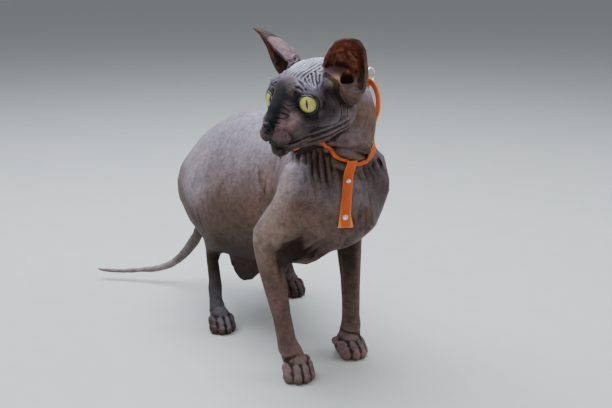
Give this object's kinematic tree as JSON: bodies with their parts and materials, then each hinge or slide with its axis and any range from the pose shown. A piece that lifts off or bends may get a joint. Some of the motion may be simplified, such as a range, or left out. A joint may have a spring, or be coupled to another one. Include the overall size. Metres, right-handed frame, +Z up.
{
  "type": "sphynx cat",
  "caption": "Life-size hairless sphynx cat standing on all fours, head turned over its right shoulder, wearing an orange webbing harness.",
  "frame": {"origin": "under the middle of the bounding box, on the floor that the paws stand on", "axes": "+Z up; the cat's chest faces -Y and its left side is +X; the head is turned towards -X"},
  "size_m": [0.2276, 0.503, 0.3597],
  "materials": {
    "skin": "bare suede-like skin with a soft sheen",
    "ear_skin": "thin bare skin",
    "eye": "wet and glossy",
    "webbing": "woven nylon",
    "steel": "polished"
  },
  "bodies": {
    "root": {"back_strap": "webbing", "chest_strap": "webbing", "ear_left": "ear_skin", "ear_right": "ear_skin", "eye_left": "eye", "eye_right": "eye", "foreleg_left": "skin", "foreleg_right": "skin", "forepaw_left": "skin", "forepaw_right": "skin", "girth_strap": "webbing", "head": "skin", "hind_leg_left": "skin", "hind_leg_right": "skin", "hind_paw_left": "skin", "hind_paw_right": "skin", "neck": "skin", "neck_strap": "webbing", "ring": "steel", "ring_keeper": "webbing", "rivet_lower": "steel", "rivet_upper": "steel", "tail_base": "skin", "tail_middle": "skin", "tail_tip": "skin", "torso": "skin"}
  },
  "joints": []
}
